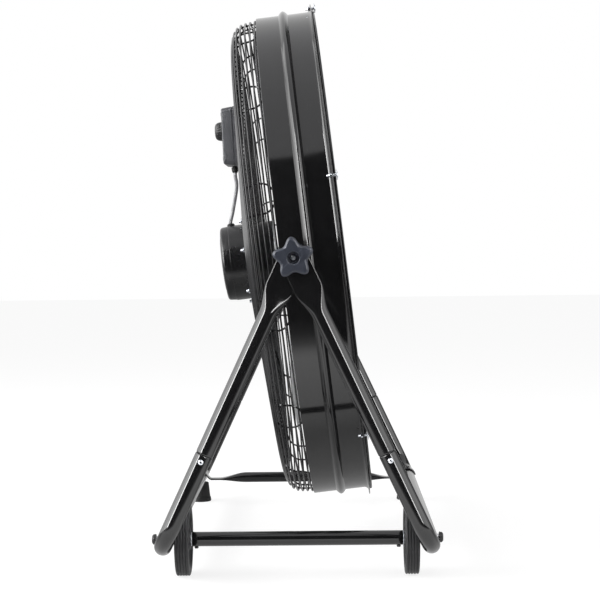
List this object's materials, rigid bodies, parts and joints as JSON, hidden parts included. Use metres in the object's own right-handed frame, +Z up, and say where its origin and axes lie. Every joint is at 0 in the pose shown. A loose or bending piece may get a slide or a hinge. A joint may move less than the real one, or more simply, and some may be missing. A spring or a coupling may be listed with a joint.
{
  "type": "drum fan",
  "caption": "Large drum fan that tilts on a wheeled A-frame of bent tube, with wire grilles, star clamp knobs and a rear control box.",
  "frame": {"origin": "on the floor below the two tilt pivots, in the middle of the stand", "axes": "+X is the way the fan blows, +Y runs from the wheeled side to the side with the rubber feet, +Z is up"},
  "size_m": [0.422, 0.928, 0.8672],
  "materials": {
    "black_paint": "gloss black powder coat",
    "wire_paint": "gloss black dip coat on wire",
    "aluminium": "bright mill finish",
    "steel": "plain turned",
    "zinc": "bright zinc plate",
    "dark_screw": "black oxide",
    "box_plastic": "fine moulded texture",
    "knob_plastic": "satin moulded",
    "rubber": "matt",
    "wheel_rubber": "satin"
  },
  "bodies": {
    "stand": {"leg_rear_near": "black_paint", "leg_screw_rear_near": "zinc", "leg_rear_far": "black_paint", "leg_screw_rear_far": "zinc", "lower_frame_rear": "black_paint", "axle_washer_rear": "zinc", "axle_set_screw_rear": "dark_screw", "axle_nut_rear": "dark_screw", "foot_rear": "rubber", "brace_screw_rear": "dark_screw", "leg_front_near": "black_paint", "leg_screw_front_near": "zinc", "leg_front_far": "black_paint", "leg_screw_front_far": "zinc", "lower_frame_front": "black_paint", "axle_washer_front": "zinc", "axle_set_screw_front": "dark_screw", "axle_nut_front": "dark_screw", "foot_front": "rubber", "brace_screw_front": "dark_screw", "axle_tube": "black_paint", "axle_rod": "steel", "far_brace": "black_paint"},
    "drum": {"drum_shell": "black_paint", "rear_grille": "wire_paint", "front_grille": "wire_paint", "rim_bolt_1": "zinc", "rim_bolt_2": "zinc", "rim_bolt_3": "zinc", "rim_bolt_4": "zinc", "rim_bolt_5": "zinc", "rim_bolt_6": "zinc", "motor_bolt_1": "zinc", "motor_bolt_2": "zinc", "motor_bolt_3": "zinc", "motor_bolt_4": "zinc", "motor_bolt_5": "zinc", "motor_bolt_6": "zinc", "motor_housing": "black_paint", "motor_cover": "aluminium", "stator": "steel", "control_box": "box_plastic", "cable_gland": "rubber", "motor_lead": "rubber", "pivot_bolt_near": "zinc", "pivot_bolt_far": "zinc", "pivot_spacer_near": "dark_screw", "pivot_spacer_far": "dark_screw"},
    "impeller": {"fan_hub": "aluminium", "fan_blade_1": "aluminium", "fan_blade_2": "aluminium", "fan_blade_3": "aluminium", "motor_shaft": "steel", "rotor": "steel"},
    "switch": {"speed_knob": "box_plastic"},
    "near_clamp": {"clamp_knob_near": "knob_plastic"},
    "far_clamp": {"clamp_knob_far": "knob_plastic"},
    "rear_wheel": {"wheel_rear": "wheel_rubber"},
    "front_wheel": {"wheel_front": "wheel_rubber"}
  },
  "joints": [
    {"name": "drum_tilt", "type": "hinge", "parent": "stand", "child": "drum", "pos_m": [0, 0, 0.46], "axis": [0, -1, 0], "range_deg": [-96.4, 83.6]},
    {"name": "impeller_spin", "type": "hinge", "parent": "drum", "child": "impeller", "pos_m": [0, 0, 0.46], "axis": [0.9938, 0, 0.1115], "continuous": true},
    {"name": "speed_select", "type": "hinge", "parent": "drum", "child": "switch", "pos_m": [-0.12743, 0, 0.66414], "axis": [-0.9991, 0, -0.0418], "range_deg": [0, 90]},
    {"name": "near_clamp_turn", "type": "hinge", "parent": "drum", "child": "near_clamp", "pos_m": [0, -0.4515, 0.46], "axis": [0, -1, 0], "range_deg": [0, 360]},
    {"name": "far_clamp_turn", "type": "hinge", "parent": "drum", "child": "far_clamp", "pos_m": [0, 0.4515, 0.46], "axis": [0, 1, 0], "range_deg": [0, 360]},
    {"name": "rear_wheel_roll", "type": "hinge", "parent": "stand", "child": "rear_wheel", "pos_m": [-0.1651, -0.361, 0.0525], "axis": [1, 0, 0], "continuous": true},
    {"name": "front_wheel_roll", "type": "hinge", "parent": "stand", "child": "front_wheel", "pos_m": [0.1651, -0.361, 0.0525], "axis": [1, 0, 0], "continuous": true}
  ]
}
